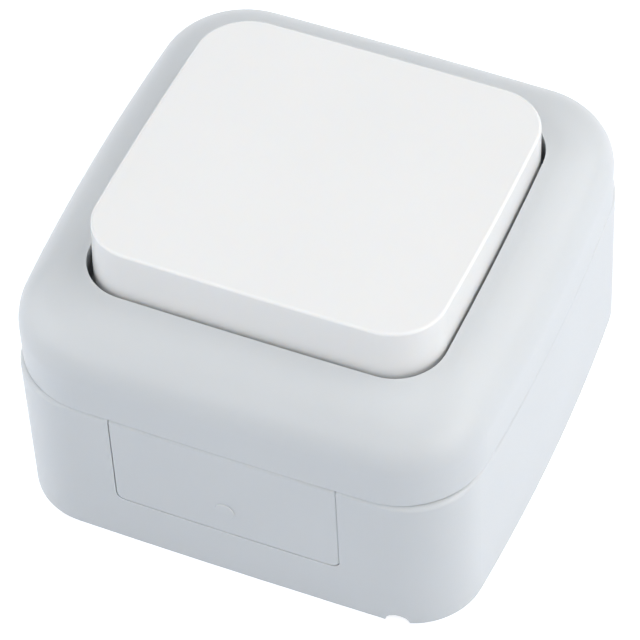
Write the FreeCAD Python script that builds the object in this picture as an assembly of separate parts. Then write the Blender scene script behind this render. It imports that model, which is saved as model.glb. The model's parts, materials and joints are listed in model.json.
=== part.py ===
import FreeCAD, Part
import math
import os

from FreeCAD import Vector

# Surface-mounted weatherproof rocker switch, in millimetres.
# +Z points out of the wall, the back lies in z = 0, -Y is the lower side with the cable entry.

# Housing plan: the left and right sides bow outwards, the upper and lower sides hardly do
COVER_WIDTH = 66.0
COVER_LENGTH = 67.3
SIDE_ARC = 302.0
END_ARC = 1500.0
COVER_CORNER = 11.9
BOX_CORNER = 10.0
COVER_OVERHANG = 0.1

# Back box
BOX_DEPTH = 25.0
WALL = 2.0
FOOT_DEPTH = 2.2
FLOOR = 2.0
BOX_TOP_ROUND = 0.7
BOX_FOOT_ROUND = 0.3
FLANGE_WIDTH = 1.6
FLANGE_DEPTH = 2.6
FOOT_RIB = 1.2
FOOT_RIB_SPACING = 16.0
FOOT_RIB_LIFT = 0.8

# Drain notch in the lower rim
DRAIN_RADIUS = 1.65
DRAIN_X = 23.6
DRAIN_LENGTH = 6.0

# Wall-screw slots
SLOT_SPACING_X = 40.0
SLOT_SPACING_Y = 44.0
SLOT_WIDTH = 4.4
SLOT_LENGTH = 7.0
SLOT_PAD_RIM = 2.4

# Gasket in the rim
GROOVE_INSET = 1.5
GROOVE_WIDTH = 1.4
GROOVE_DEPTH = 1.2
GASKET_HEIGHT = 0.8
GASKET_PLAY = 0.05
PRESS_RIB_WIDTH = 0.7

# Cable-entry panels
PANEL_WIDTH = 31.8
PANEL_SILL = 8.5
PANEL_CORNER = 1.2
PANEL_PLAY = 0.08
PANEL_EDGE_ROUND = 0.25
PLATE_THICKNESS = 1.4
PLATE_OVERLAP = 2.5
RAIL_WIDTH = 1.6
RAIL_LIP = 1.5
MARK_RADIUS = 1.35
MARK_HEIGHT = 0.2
MARK_Z = 13.4
KNOCKOUT_RADIUS = 3.5
KNOCKOUT_SKIN = 0.8

# Cover frame
RIM_Z = 38.0
SHOULDER_Z = 31.0
CROWN_RISE = 3.6
CROWN_REACH = 2.6
CROWN_SAG = 0.7
COVER_WALL = 2.2
CROWN_WALL = 1.9
CROWN_SECTIONS = 9
CAVITY_SECTIONS = 4
COVER_LIP_ROUND = 0.5
COVER_FLANGE_DEPTH = 2.5
COVER_RIB = 1.2
COVER_RIB_OFFSET = 12.0

# Rocker's opening and well
OPENING_WIDTH = 49.8
OPENING_LENGTH = 47.8
OPENING_CORNER = 7.0
OPENING_SIDE_ARC = 600.0
WELL_WALL = 1.8
SHELF_TOP = 32.2
SHELF = 1.6
WINDOW_WIDTH = 28.0
WINDOW_LENGTH = 22.0
WINDOW_CORNER = 2.0
COLLAR_WALL = 1.2
COLLAR_HEIGHT = 1.7

# Rubber ring on the collar
SEAL_WALL = 1.6
SEAL_LIP = 0.5
SEAL_PLAY = 0.05

# Rocker button
ROCKER_GAP_X = 0.42
ROCKER_GAP_Y = 0.45
ROCKER_CORNER = 7.4
ROCKER_TOP = 43.6
ROCKER_SKIRT_Z = 34.6
ROCKER_DRAFT = 1.0
ROCKER_ROUND = 0.35
ROCKER_WALL = 1.6
ROCKER_SKIN = 2.0
ROCKER_RIB = 1.2
ROCKER_RIB_DEPTH = 2.0
ROCKER_SWING = 3.5

# Pivot of the rocker and its yoke
PIVOT_Z = 34.0
TRUNNION_RADIUS = 1.5
BEARING_PLAY = 0.05
YOKE_HEAD_WIDTH = 13.0
YOKE_HEAD_LENGTH = 10.0
YOKE_BODY_WIDTH = 15.0
YOKE_WING_LENGTH = 19.0
YOKE_WING_BOTTOM = 27.6
YOKE_WING = 2.0
YOKE_HUB_RADIUS = 2.5
STEM_RADIUS = 3.6
STEM_BOTTOM = 20.6
CLIP_PLAY = 0.1
CLIP_WALL = 1.4
CLIP_DEPTH = 4.8
CLIP_LUG = 0.5
CLIP_LUG_WIDTH = 3.0
CLIP_LUG_HEIGHT = 1.0

# Plunger and spring
PLUNGER_RADIUS = 2.0
PLUNGER_PLAY = 0.06
NOSE_RADIUS = 1.5
NOSE_LIFT = 0.05
NOSE_LENGTH = 2.2
PLUNGER_TOP = 27.0
SPRING_GUIDE_RADIUS = 0.8
SPRING_GUIDE_LENGTH = 2.0
SPRING_RADIUS = 1.45
SPRING_WIRE = 0.25
SPRING_WIRE_SIDES = 6
SPRING_TURNS = 4.0
BORE_TOP = 33.0

# Contact lever on its fulcrum
FULCRUM_Z = 15.5
FULCRUM_BLADE = 1.2
FULCRUM_PLAY = 0.06
LEVER_THICKNESS = 1.2
LEVER_SEAT = 0.1
LEVER_WIDTH = 5.0
LEVER_LENGTH = 24.4
LEVER_SWING = 8.0
CONTACT_ARM = 10.5
CONTACT_RADIUS = 1.5
CONTACT_HEIGHT = 1.0
CONTACT_TOUCH = 0.05

# Mechanism housing: an open tray with pedestals
TRAY_WIDTH = 30.0
TRAY_LENGTH = 36.0
TRAY_WALL = 1.6
TRAY_FLOOR = 2.0
TRAY_LIFT = 1.0
TRAY_TOP = 24.0
TRAY_CORNER = 2.0
LID_THICKNESS = 1.6
STEM_WINDOW_WIDTH = 8.8
STEM_WINDOW_LENGTH = 10.6
TOWER_INNER_X = 9.8
TOWER_THICKNESS = 2.4
TOWER_LENGTH = 8.0
TOWER_HEAD_RADIUS = 3.2
ACCESS_RADIUS = 2.7

# Brass strips and terminals
STRIP = 1.0
WAY_LEVEL = 11.2
TONGUE_LEVEL = 16.0
TERMINAL_X = 10.5
TERMINAL_Y = 12.0
TONGUE_WIDTH = 6.0
RISER_X = 7.0
TONGUE_END = 13.2
STRIP_BEND = 0.6
PAD_LENGTH = 3.8
FULCRUM_FOOT_LENGTH = 5.0
CLAMP_SIZE = 5.2
PEDESTAL_PLAY = 0.2

# Support plate
PLATE_WIDTH = 34.0
PLATE_END = 0.3
PLATE = 1.2
PLATE_CORNER = 3.0
PLATE_WINDOW_WIDTH = 25.6
PLATE_WINDOW_LENGTH = 12.0
PLATE_POST_X = 13.0
POST_RADIUS = 2.6
POST_GAP = 0.2

# Screws: radius, head radius, head height, length
SCREW_PLAY = 0.06
DRIVE_WIDTH = 0.7
DRIVE_DEPTH = 0.8
COVER_SCREW_X = 20.5
COVER_SCREW_RADIUS = 1.5
COVER_SCREW_HEAD = 2.8
COVER_SCREW_HEAD_HEIGHT = 1.9
COVER_SCREW_LENGTH = 13.0
COVER_POST_RADIUS = 3.2
COVER_COLUMN_RADIUS = 4.2
COVER_POST_TOP = 27.0
PLATE_SCREW_RADIUS = 1.4
PLATE_SCREW_HEAD = 2.6
PLATE_SCREW_HEAD_HEIGHT = 1.7
PLATE_SCREW_LENGTH = 9.0
MECHANISM_SCREW_Y = 14.8
MECHANISM_SCREW_RADIUS = 1.1
MECHANISM_SCREW_HEAD = 2.0
MECHANISM_SCREW_HEAD_HEIGHT = 1.4
MECHANISM_SCREW_LENGTH = 10.0
MECHANISM_BOSS_RADIUS = 2.2
TERMINAL_SCREW_RADIUS = 1.5
TERMINAL_SCREW_HEAD = 2.4
TERMINAL_SCREW_HEAD_HEIGHT = 1.8
TERMINAL_SCREW_LENGTH = 6.0

# Earth terminal
EARTH_WIDTH = 12.0
EARTH_LENGTH = 5.0
EARTH_HEIGHT = 8.0
EARTH_GAP = 0.4
EARTH_WIRE_RADIUS = 1.8
EARTH_WIRE_Z = 2.8
EARTH_SCREW_SPACING = 6.4
EARTH_SCREW_RADIUS = 1.2
EARTH_SCREW_LENGTH = 3.6
EARTH_SCREW_PROUD = 1.4

# Worked-out levels and sizes
FLOOR_TOP = FOOT_DEPTH + FLOOR
SLIDE_DEPTH = WALL + PANEL_PLAY + PLATE_THICKNESS
RAIL_DEPTH = SLIDE_DEPTH + PANEL_PLAY
PLATE_HALF = PANEL_WIDTH / 2 + PLATE_OVERLAP
SHELF_BOTTOM = SHELF_TOP - SHELF
TRAY_BOTTOM = FLOOR_TOP + TRAY_LIFT
TRAY_FLOOR_TOP = TRAY_BOTTOM + TRAY_FLOOR
LID_TOP = TRAY_TOP + LID_THICKNESS
PLATE_TOP = LID_TOP + PLATE
PLATE_POST_Y = TRAY_LENGTH / 2 + POST_GAP + POST_RADIUS
PLATE_LENGTH = 2 * (PLATE_POST_Y + PLATE_SCREW_HEAD + PLATE_END)
EARTH_Y = TRAY_LENGTH / 2 + EARTH_GAP + EARTH_LENGTH / 2
LEVER_BOTTOM = FULCRUM_Z - LEVER_SEAT
LEVER_TOP = LEVER_BOTTOM + LEVER_THICKNESS
NOSE_CENTRE = LEVER_TOP + NOSE_LIFT + NOSE_RADIUS
TONGUE_TOP = TONGUE_LEVEL + STRIP
ROCKER_SKIN_BOTTOM = ROCKER_TOP - ROCKER_SKIN
COVER_COUNTERBORE = SHELF_TOP - COVER_SCREW_HEAD_HEIGHT
FAR = 200.0
UP = Vector(0, 0, 1)


def corner_centre(half_x, half_y, radius, side_arc, end_arc):
    """Centre of the corner arc that touches the side arc and the end arc from inside."""
    side_x = half_x - side_arc
    end_y = half_y - end_arc
    side_reach = side_arc - radius
    end_reach = end_arc - radius
    span = math.hypot(side_x, end_y)
    step_x = -side_x / span
    step_y = end_y / span
    along = (side_reach ** 2 - end_reach ** 2 + span ** 2) / (2 * span)
    across = math.sqrt(side_reach ** 2 - along ** 2)
    return side_x + along * step_x - across * step_y, along * step_y + across * step_x


def outline(half_x, half_y, radius, z, side_arc=SIDE_ARC, end_arc=END_ARC):
    """Closed wire of four bowed sides and four corner arcs, tangent to each other."""
    cx, cy = corner_centre(half_x, half_y, radius, side_arc, end_arc)
    side_angle = math.atan2(cy, cx - (half_x - side_arc))
    end_angle = math.atan2(cy - (half_y - end_arc), cx)
    mid_angle = (side_angle + end_angle) / 2

    def on_corner(angle, flip_x, flip_y):
        x = cx + radius * math.cos(angle)
        y = cy + radius * math.sin(angle)
        return Vector(flip_x * x, flip_y * y, z)

    edges = []
    quadrants = ((1, 1), (-1, 1), (-1, -1), (1, -1))
    for flip_x, flip_y in quadrants:
        at_side = on_corner(side_angle, flip_x, flip_y)
        at_end = on_corner(end_angle, flip_x, flip_y)
        middle = on_corner(mid_angle, flip_x, flip_y)
        if flip_x * flip_y > 0:
            edges.append(Part.Arc(at_side, middle, at_end).toShape())
            crown = Vector(0, flip_y * half_y, z)
            edges.append(Part.Arc(at_end, crown, on_corner(end_angle, -flip_x, flip_y)).toShape())
        else:
            edges.append(Part.Arc(at_end, middle, at_side).toShape())
            crown = Vector(flip_x * half_x, 0, z)
            edges.append(Part.Arc(at_side, crown, on_corner(side_angle, flip_x, -flip_y)).toShape())
    return Part.Wire(edges)


def prism(wire, height):
    """Upright solid on a flat closed wire."""
    return Part.Face(wire).extrude(Vector(0, 0, height))


def plan_slab(inset, corner, low, high):
    """Slab of the housing's plan with corners of one radius, moved in by an even margin."""
    wire = outline(COVER_WIDTH / 2 - inset, COVER_LENGTH / 2 - inset, corner - inset, low,
                   SIDE_ARC - inset, END_ARC - inset)
    return prism(wire, high - low)


def cover_slab(inset, low, high):
    """Slab of the cover's plan."""
    return plan_slab(inset, COVER_CORNER, low, high)


def box_slab(inset, low, high):
    """Slab of the back box's plan, inside the cover's at the sides and fuller at the corners."""
    return plan_slab(inset + COVER_OVERHANG, BOX_CORNER, low, high)


def opening_slab(margin, low, high):
    """Slab of the rocker's opening, grown outwards by a margin."""
    wire = outline(OPENING_WIDTH / 2 + margin, OPENING_LENGTH / 2 + margin, OPENING_CORNER + margin, low,
                   OPENING_SIDE_ARC + margin, END_ARC + margin)
    return prism(wire, high - low)


def block(half_x, half_y, low, high, x=0.0, y=0.0):
    """Box centred on x and y, given by its half sizes."""
    return Part.makeBox(2 * half_x, 2 * half_y, high - low, Vector(x - half_x, y - half_y, low))


def rounded_block(width, length, corner, low, high, x=0.0, y=0.0):
    """Box with rounded upright edges."""
    solid = block(width / 2, length / 2, low, high, x, y)
    upright = [edge for edge in solid.Edges if abs(edge.tangentAt(edge.FirstParameter).z) > 0.9]
    return solid.makeFillet(corner, upright)


def post(radius, low, high, x=0.0, y=0.0):
    """Upright cylinder."""
    return Part.makeCylinder(radius, high - low, Vector(x, y, low), UP)


def stadium(width, length, low, high, x, y):
    """Slot shape along X with half-round ends."""
    reach = (length - width) / 2
    middle = block(reach, width / 2, low, high, x, y)
    ends = [post(width / 2, low, high, x + side * reach, y) for side in (-1, 1)]
    return middle.multiFuse(ends).removeSplitter()


def join(first, *others):
    """Union of solids with split faces merged."""
    return first.multiFuse(list(others)).removeSplitter()


def corners(x, y):
    """The four points at plus and minus x and y."""
    return [(side_x * x, side_y * y) for side_x in (-1, 1) for side_y in (-1, 1)]


def round_rim(solid, level, radius, half_x):
    """Rounds the outer edge loop of a slab at one level, found by its reach from the middle."""
    rim = []
    for edge in solid.Edges:
        bounds = edge.BoundBox
        if bounds.ZLength < 1e-6 and abs(bounds.ZMin - level) < 1e-6:
            rim.append(edge)
    outer = [edge for edge in rim if reach(edge) > half_x - COVER_CORNER]
    return solid.makeFillet(radius, outer)


def reach(edge):
    """Largest distance of an edge from the axes through the middle."""
    bounds = edge.BoundBox
    return max(abs(bounds.XMin), abs(bounds.XMax), abs(bounds.YMin), abs(bounds.YMax))


def tip_rocker(solid):
    """Turns a piece from level to the rest pose, with the near edge raised."""
    return solid.rotated(Vector(0, 0, PIVOT_Z), Vector(1, 0, 0), -ROCKER_SWING)


def tip_lever(solid):
    """Turns the seesaw from level to the rest pose, with its near contact closed."""
    return solid.rotated(Vector(0, 0, FULCRUM_Z), Vector(1, 0, 0), LEVER_SWING)


def screw(radius, head_radius, head_height, length, seat_z, x, y):
    """Pan-head screw with a cross recess, its head resting on seat_z."""
    shank = post(radius, seat_z - length, seat_z, x, y)
    head = post(head_radius, seat_z, seat_z + head_height, x, y)
    top = [edge for edge in head.Edges if abs(edge.BoundBox.ZMin - seat_z - head_height) < 1e-6]
    head = head.makeChamfer(head_height / 2, top)
    body = join(shank, head)
    reach_out = head_radius * 0.7
    recess_z = seat_z + head_height - DRIVE_DEPTH
    slot_x = block(reach_out, DRIVE_WIDTH / 2, recess_z, FAR, x, y)
    slot_y = block(DRIVE_WIDTH / 2, reach_out, recess_z, FAR, x, y)
    return body.cut(slot_x).cut(slot_y)


# Back box and entry panels

def plain_wall():
    """The box's wall with its inner rim flange and rounded edges, before anything is cut into it."""
    solid = box_slab(0, 0, BOX_DEPTH)
    solid = round_rim(solid, BOX_DEPTH, BOX_TOP_ROUND, COVER_WIDTH / 2)
    solid = round_rim(solid, 0, BOX_FOOT_ROUND, COVER_WIDTH / 2)
    solid = solid.cut(box_slab(WALL, 0, BOX_DEPTH - FLANGE_DEPTH))
    solid = solid.cut(box_slab(WALL + FLANGE_WIDTH, 0, BOX_DEPTH))
    return solid.cut(gasket_groove())


def gasket_groove():
    """Ring cut into the rim for the gasket."""
    floor_z = BOX_DEPTH - GROOVE_DEPTH
    outer = box_slab(GROOVE_INSET, floor_z, BOX_DEPTH)
    return outer.cut(box_slab(GROOVE_INSET + GROOVE_WIDTH, floor_z, BOX_DEPTH))


def panel_window(play):
    """U-shaped prism through the lower wall, open at the top, smaller by the play on each side."""
    half = PANEL_WIDTH / 2 - play
    sill = PANEL_SILL + play
    solid = Part.makeBox(2 * half, FAR, FAR, Vector(-half, -FAR, sill))
    lower = [edge for edge in solid.Edges
             if edge.BoundBox.YLength > FAR / 2 and abs(edge.BoundBox.ZMin - sill) < 1e-6]
    return solid.makeFillet(PANEL_CORNER, lower)


def wall_layer(outer_inset, inner_inset, low, high):
    """Ring between two insets of the box's plan."""
    return box_slab(outer_inset, low, high).cut(box_slab(inner_inset, low, high))


def near_half(half_x, low, high):
    """Box over the lower wall's middle."""
    return Part.makeBox(2 * half_x, FAR, high - low, Vector(-half_x, -FAR, low))


def panel_rails():
    """Two grooved rails inside the lower wall, which guide the panel's plate."""
    top = BOX_DEPTH - FLANGE_DEPTH
    outer_x = PLATE_HALF + PANEL_PLAY + RAIL_WIDTH
    ring = wall_layer(WALL / 2, RAIL_DEPTH + RAIL_WIDTH, FLOOR_TOP, top)
    ring = ring.common(near_half(outer_x, FLOOR_TOP, top))
    ring = ring.cut(near_half(PLATE_HALF - RAIL_LIP, FLOOR_TOP, top))
    slot = wall_layer(WALL, RAIL_DEPTH, FLOOR_TOP, top)
    slot = slot.common(near_half(PLATE_HALF + PANEL_PLAY, PANEL_SILL - PLATE_OVERLAP - PANEL_PLAY, top))
    return ring.cut(slot)


def soften_front(panel):
    """Rounds the sides and sill of the panel where they meet its outer face."""
    face_y = COVER_OVERHANG + PANEL_EDGE_ROUND - COVER_LENGTH / 2
    top = BOX_DEPTH - BOX_TOP_ROUND
    border = []
    for edge in panel.Edges:
        bounds = edge.BoundBox
        if bounds.YMax < face_y and bounds.ZMax < top + 1e-6 and bounds.ZMin < top - 1e-6:
            border.append(edge)
    return panel.makeFillet(PANEL_EDGE_ROUND, border)


def entry_panel():
    """Slide-in panel of the lower wall, with a marked knock-out."""
    filled = join(plain_wall(), wall_layer(WALL / 2, SLIDE_DEPTH, FLOOR_TOP, BOX_DEPTH - FLANGE_DEPTH))
    front = soften_front(filled.common(panel_window(PANEL_PLAY)))
    plate_low = PANEL_SILL - PLATE_OVERLAP
    plate = wall_layer(WALL + PANEL_PLAY, SLIDE_DEPTH, plate_low, BOX_DEPTH)
    plate = plate.cut(gasket_groove()).common(near_half(PLATE_HALF, plate_low, BOX_DEPTH))
    panel = join(front, plate)
    face_y = COVER_OVERHANG - COVER_LENGTH / 2
    mark_start = Vector(0, face_y - MARK_HEIGHT, MARK_Z)
    mark = Part.makeCylinder(MARK_RADIUS, WALL / 2 + MARK_HEIGHT, mark_start, Vector(0, 1, 0))
    mark_rim = [edge for edge in mark.Edges if edge.BoundBox.YMax < face_y]
    mark = mark.makeFillet(MARK_HEIGHT / 2, mark_rim)
    skin_inside = Vector(0, face_y + KNOCKOUT_SKIN, MARK_Z)
    knockout = Part.makeCylinder(KNOCKOUT_RADIUS, FAR, skin_inside, Vector(0, 1, 0))
    return join(panel, mark).cut(knockout)


def back_box():
    """Tub with foot rim, floor, posts, screw slots, panel windows and rails."""
    solid = join(plain_wall(), box_slab(WALL / 2, FOOT_DEPTH, FLOOR_TOP))
    half_turn = [(Vector(0, 0, 0), UP, angle) for angle in (0, 180)]
    flange_gap = wall_layer(WALL, WALL + FLANGE_WIDTH + 1, FLOOR_TOP, BOX_DEPTH)
    flange_gap = flange_gap.common(near_half(PLATE_HALF + PANEL_PLAY, FLOOR_TOP, BOX_DEPTH))
    for turn in half_turn:
        solid = solid.cut(panel_window(0).common(near_half(FAR, FLOOR_TOP, FAR)).rotated(*turn))
        solid = solid.cut(flange_gap.rotated(*turn))
        solid = join(solid, panel_rails().rotated(*turn))
    room = box_slab(WALL, 0, FOOT_DEPTH)
    for offset in (-FOOT_RIB_SPACING / 2, FOOT_RIB_SPACING / 2):
        along_y = block(FOOT_RIB / 2, FAR, FOOT_RIB_LIFT, FOOT_DEPTH, offset, 0).common(room)
        along_x = block(FAR, FOOT_RIB / 2, FOOT_RIB_LIFT, FOOT_DEPTH, 0, offset).common(room)
        solid = join(solid, along_y, along_x)
    for x, y in corners(SLOT_SPACING_X / 2, SLOT_SPACING_Y / 2):
        pad_size = 2 * SLOT_PAD_RIM
        solid = join(solid, stadium(SLOT_WIDTH + pad_size, SLOT_LENGTH + pad_size, 0, FOOT_DEPTH, x, y))
        solid = solid.cut(stadium(SLOT_WIDTH, SLOT_LENGTH, 0, FLOOR_TOP, x, y))
    for x, y in corners(PLATE_POST_X, PLATE_POST_Y):
        solid = join(solid, post(POST_RADIUS, FLOOR_TOP, LID_TOP, x, y))
        depth = PLATE_SCREW_LENGTH - PLATE + 1
        solid = solid.cut(post(PLATE_SCREW_RADIUS + SCREW_PLAY, LID_TOP - depth, LID_TOP, x, y))
    for side in (-1, 1):
        x = side * COVER_SCREW_X
        solid = join(solid, post(COVER_POST_RADIUS, FLOOR_TOP, COVER_POST_TOP, x))
        tip_z = COVER_COUNTERBORE - COVER_SCREW_LENGTH - 1
        solid = solid.cut(post(COVER_SCREW_RADIUS + SCREW_PLAY, tip_z, COVER_POST_TOP, x))
    for x, y in corners(TRAY_WIDTH / 2 - TRAY_CORNER, TRAY_LENGTH / 2 - TRAY_CORNER):
        solid = join(solid, post(TRAY_CORNER, FLOOR_TOP, TRAY_BOTTOM, x, y))
    drain_start = Vector(DRAIN_X, COVER_OVERHANG - COVER_LENGTH / 2, 0)
    drain = Part.makeCylinder(DRAIN_RADIUS, DRAIN_LENGTH, drain_start, Vector(0, 1, 0))
    return solid.cut(drain)


def cover_gasket():
    """Sealing cord that lies in the rim's groove."""
    floor_z = BOX_DEPTH - GROOVE_DEPTH
    outer_inset = GROOVE_INSET + GASKET_PLAY
    inner_inset = GROOVE_INSET + GROOVE_WIDTH - GASKET_PLAY
    return wall_layer(outer_inset, inner_inset, floor_z, floor_z + GASKET_HEIGHT)


# Cover frame

def crown_point(t, wall):
    """Inset share and height of the crown's profile, a cubic from the upright shoulder to the flatter rim."""
    pull_in = 3 * t ** 2 * (1 - t)
    share = t ** 3
    low = (1 - t) ** 3 + 3 * t * (1 - t) ** 2
    rise = 3 * t * (1 - t) ** 2 * CROWN_RISE + (pull_in + share) * (RIM_Z - SHOULDER_Z)
    height = SHOULDER_Z + rise - pull_in * CROWN_SAG
    rim_inset = (COVER_WIDTH - OPENING_WIDTH) / 2
    inset_share = pull_in * CROWN_REACH / rim_inset + share
    return inset_share, height - wall * (1 - low)


def crown(wall, top_wall, steps, straight):
    """Lofted top of the cover from the shoulder to the opening, or its inner face when walls are given."""
    wires = []
    for step in range(steps + 1):
        share, height = crown_point(step / steps, top_wall)
        half_x = COVER_WIDTH / 2 - share * (COVER_WIDTH - OPENING_WIDTH) / 2 - wall
        half_y = COVER_LENGTH / 2 - share * (COVER_LENGTH - OPENING_LENGTH) / 2 - wall
        radius = COVER_CORNER + share * (OPENING_CORNER - COVER_CORNER) - wall
        side_arc = SIDE_ARC + share * (OPENING_SIDE_ARC - SIDE_ARC) - wall
        wires.append(outline(half_x, half_y, radius, height, side_arc, END_ARC - wall))
    return Part.makeLoft(wires, True, straight, False)


def cover_frame():
    """Pillow-shaped shell with the rocker's well, shelf, collar, screw columns and ribs."""
    skirt = round_rim(cover_slab(0, BOX_DEPTH, SHOULDER_Z), BOX_DEPTH, COVER_LIP_ROUND, COVER_WIDTH / 2)
    shell = skirt.fuse(crown(0, 0, CROWN_SECTIONS, False))
    flange_top = BOX_DEPTH + COVER_FLANGE_DEPTH
    flange_inset = COVER_OVERHANG + WALL + FLANGE_WIDTH
    cavity = cover_slab(flange_inset, BOX_DEPTH, flange_top)
    cavity = cavity.fuse(cover_slab(COVER_WALL, flange_top, SHOULDER_Z))
    cavity = cavity.fuse(crown(COVER_WALL, CROWN_WALL, CAVITY_SECTIONS, True))
    well_block = opening_slab(WELL_WALL, SHELF_BOTTOM, RIM_Z)
    ribs = []
    for offset in (-COVER_RIB_OFFSET, COVER_RIB_OFFSET):
        ribs.append(block(COVER_RIB / 2, FAR, SHELF_BOTTOM, RIM_Z, offset, 0))
        ribs.append(block(FAR, COVER_RIB / 2, SHELF_BOTTOM, RIM_Z, 0, offset))
    cavity = cavity.cut(well_block).cut(ribs[0].multiFuse(ribs[1:]))
    shell = shell.cut(cavity)
    shell = shell.cut(opening_slab(0, SHELF_TOP, RIM_Z + 1))
    collar = rounded_block(WINDOW_WIDTH + 2 * COLLAR_WALL, WINDOW_LENGTH + 2 * COLLAR_WALL,
                           WINDOW_CORNER + COLLAR_WALL, SHELF_BOTTOM, SHELF_TOP + COLLAR_HEIGHT)
    shell = shell.fuse(collar)
    shell = shell.cut(rounded_block(WINDOW_WIDTH, WINDOW_LENGTH, WINDOW_CORNER, SHELF_BOTTOM, FAR))
    press_inset = GROOVE_INSET + (GROOVE_WIDTH - PRESS_RIB_WIDTH) / 2
    press_low = BOX_DEPTH - GROOVE_DEPTH + GASKET_HEIGHT
    shell = shell.fuse(wall_layer(press_inset, press_inset + PRESS_RIB_WIDTH, press_low, BOX_DEPTH))
    for side in (-1, 1):
        x = side * COVER_SCREW_X
        shell = shell.fuse(post(COVER_COLUMN_RADIUS, COVER_POST_TOP, SHELF_TOP, x))
        shell = shell.cut(post(COVER_SCREW_RADIUS + SCREW_PLAY, COVER_POST_TOP, SHELF_TOP, x))
        shell = shell.cut(post(COVER_SCREW_HEAD + SCREW_PLAY, COVER_COUNTERBORE, SHELF_TOP, x))
    return shell.removeSplitter()


def cover_screws():
    """Two screws that hold the cover, hidden under the rocker."""
    screws = []
    for side in (-1, 1):
        screws.append(screw(COVER_SCREW_RADIUS, COVER_SCREW_HEAD, COVER_SCREW_HEAD_HEIGHT,
                            COVER_SCREW_LENGTH, COVER_COUNTERBORE, side * COVER_SCREW_X, 0))
    return Part.makeCompound(screws)


def rocker_seal():
    """Rubber ring pulled over the collar, with a lip over its top."""
    collar_x = WINDOW_WIDTH + 2 * COLLAR_WALL
    collar_y = WINDOW_LENGTH + 2 * COLLAR_WALL
    collar_r = WINDOW_CORNER + COLLAR_WALL
    top = SHELF_TOP + COLLAR_HEIGHT
    outer = rounded_block(collar_x + 2 * SEAL_WALL, collar_y + 2 * SEAL_WALL, collar_r + SEAL_WALL,
                          SHELF_TOP, top + SEAL_LIP)
    inner = rounded_block(collar_x + 2 * SEAL_PLAY, collar_y + 2 * SEAL_PLAY, collar_r + SEAL_PLAY,
                          SHELF_TOP, top)
    through = rounded_block(WINDOW_WIDTH, WINDOW_LENGTH, WINDOW_CORNER, SHELF_TOP, FAR)
    return outer.cut(inner).cut(through)


# Rocker, yoke, plunger and spring

def rocker_slab(inset, low, high):
    """Drafted slab of the rocker's plan, widest at the skirt."""
    lean = math.tan(math.radians(ROCKER_DRAFT))
    wires = []
    for z in (low, high):
        pull = inset + (z - ROCKER_SKIRT_Z) * lean
        half_x = OPENING_WIDTH / 2 - ROCKER_GAP_X - pull
        half_y = OPENING_LENGTH / 2 - ROCKER_GAP_Y - pull
        wires.append(outline(half_x, half_y, ROCKER_CORNER - pull, z, OPENING_SIDE_ARC, END_ARC))
    return Part.makeLoft(wires, True, True, False)


def rocker_button():
    """White rocker: a drafted shell with rounded top edge, ribs and the clip socket of the yoke."""
    solid = rocker_slab(0, ROCKER_SKIRT_Z, ROCKER_TOP)
    top = [edge for edge in solid.Edges if edge.BoundBox.ZMin > ROCKER_TOP - 1e-6]
    solid = solid.makeFillet(ROCKER_ROUND, top)
    hollow = rocker_slab(ROCKER_WALL, ROCKER_SKIRT_Z, ROCKER_SKIN_BOTTOM)
    solid = solid.cut(hollow)
    rib_low = ROCKER_SKIN_BOTTOM - ROCKER_RIB_DEPTH
    socket_x = YOKE_HEAD_WIDTH / 2 + CLIP_PLAY
    socket_y = YOKE_HEAD_LENGTH / 2 + CLIP_PLAY
    for side in (-1, 1):
        rib_x = block(FAR, ROCKER_RIB / 2, rib_low, ROCKER_SKIN_BOTTOM, 0, side * socket_y)
        rib_y = block(ROCKER_RIB / 2, FAR, rib_low, ROCKER_SKIN_BOTTOM, side * socket_x, 0)
        solid = join(solid, rib_x.common(hollow), rib_y.common(hollow))
    socket_low = ROCKER_SKIN_BOTTOM - CLIP_DEPTH
    solid = join(solid, block(socket_x + CLIP_WALL, socket_y + CLIP_WALL, socket_low, ROCKER_SKIN_BOTTOM))
    solid = solid.cut(block(socket_x, socket_y, socket_low, ROCKER_SKIN_BOTTOM))
    lug_z = lug_level()
    half_window = CLIP_LUG_WIDTH / 2 + CLIP_PLAY
    window_top = lug_z + CLIP_LUG_HEIGHT + CLIP_PLAY
    window = block(socket_x + CLIP_WALL + 1, half_window, lug_z - CLIP_PLAY, window_top)
    return tip_rocker(solid.cut(window))


def lug_level():
    """Height of the clip lugs' lower face on the level yoke."""
    return ROCKER_SKIN_BOTTOM - CLIP_DEPTH / 2 - CLIP_LUG_HEIGHT


def rocker_yoke():
    """Carrier with trunnions, clip lugs, stop wings and the bored stem of the plunger."""
    body = block(YOKE_HEAD_WIDTH / 2, YOKE_HEAD_LENGTH / 2, YOKE_WING_BOTTOM, ROCKER_SKIN_BOTTOM)
    wings = block(YOKE_BODY_WIDTH / 2, YOKE_WING_LENGTH / 2, YOKE_WING_BOTTOM, YOKE_WING_BOTTOM + YOKE_WING)
    hub_half = TOWER_INNER_X - CLIP_PLAY * 2
    hub = Part.makeCylinder(YOKE_HUB_RADIUS, 2 * hub_half, Vector(-hub_half, 0, PIVOT_Z), Vector(1, 0, 0))
    axle_half = TOWER_INNER_X + TOWER_THICKNESS
    axle = Part.makeCylinder(TRUNNION_RADIUS, 2 * axle_half, Vector(-axle_half, 0, PIVOT_Z), Vector(1, 0, 0))
    stem = post(STEM_RADIUS, STEM_BOTTOM, YOKE_WING_BOTTOM)
    lug_half = YOKE_HEAD_WIDTH / 2 + CLIP_LUG
    lugs = block(lug_half, CLIP_LUG_WIDTH / 2, lug_level(), lug_level() + CLIP_LUG_HEIGHT)
    solid = join(body, wings, hub, axle, stem, lugs)
    return tip_rocker(solid.cut(post(PLUNGER_RADIUS + PLUNGER_PLAY, STEM_BOTTOM, BORE_TOP)))


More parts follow.
